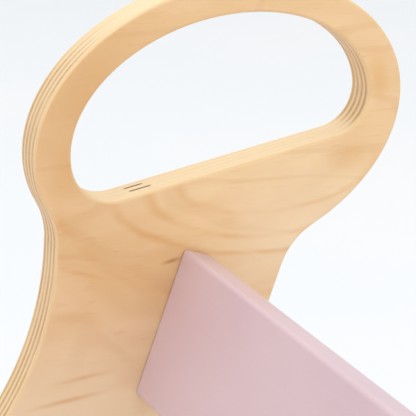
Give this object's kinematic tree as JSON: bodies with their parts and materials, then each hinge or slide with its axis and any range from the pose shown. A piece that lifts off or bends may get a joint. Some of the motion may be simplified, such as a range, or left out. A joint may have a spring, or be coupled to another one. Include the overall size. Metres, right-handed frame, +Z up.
{
  "type": "rocking horse",
  "caption": "Toddler's rocking horse: plywood horse-profile sides with handle holes in the heads, joined by painted cross slats for neck, seat, backrest and feet.",
  "frame": {"origin": "on the floor under the middle of the horse's length and width, at the rockers' short flat", "axes": "+X towards the horse's head, +Y its left side, +Z up"},
  "size_m": [0.6298, 0.2652, 0.4627],
  "materials": {
    "birch_plywood": "clear matt lacquer on birch plywood, plies showing on the edges",
    "mauve_paint": "satin dusty-pink paint on plywood",
    "solid_birch": "clear matt lacquer on solid birch",
    "plug_birch": "clear matt lacquer",
    "beech_dowel": "raw",
    "zinc_steel": "zinc plated",
    "grip_rubber": "matt"
  },
  "bodies": {
    "root": {"side_panel_left": "birch_plywood", "side_panel_right": "birch_plywood", "neck_slat": "mauve_paint", "backrest_slat_lower": "mauve_paint", "backrest_slat_upper": "mauve_paint", "footrest_slat": "mauve_paint", "front_stretcher": "mauve_paint", "rear_stretcher": "mauve_paint", "seat_slat_rear": "mauve_paint", "seat_slat_middle": "mauve_paint", "seat_slat_front": "mauve_paint", "seat_bearer_left": "solid_birch", "seat_bearer_right": "solid_birch", "slat_screws": "zinc_steel", "screw_plugs": "plug_birch", "dowels": "beech_dowel", "seat_screws": "zinc_steel", "bearer_screws": "zinc_steel", "rocker_grip_left": "grip_rubber", "rocker_grip_right": "grip_rubber", "tip_stops": "grip_rubber"}
  },
  "joints": []
}
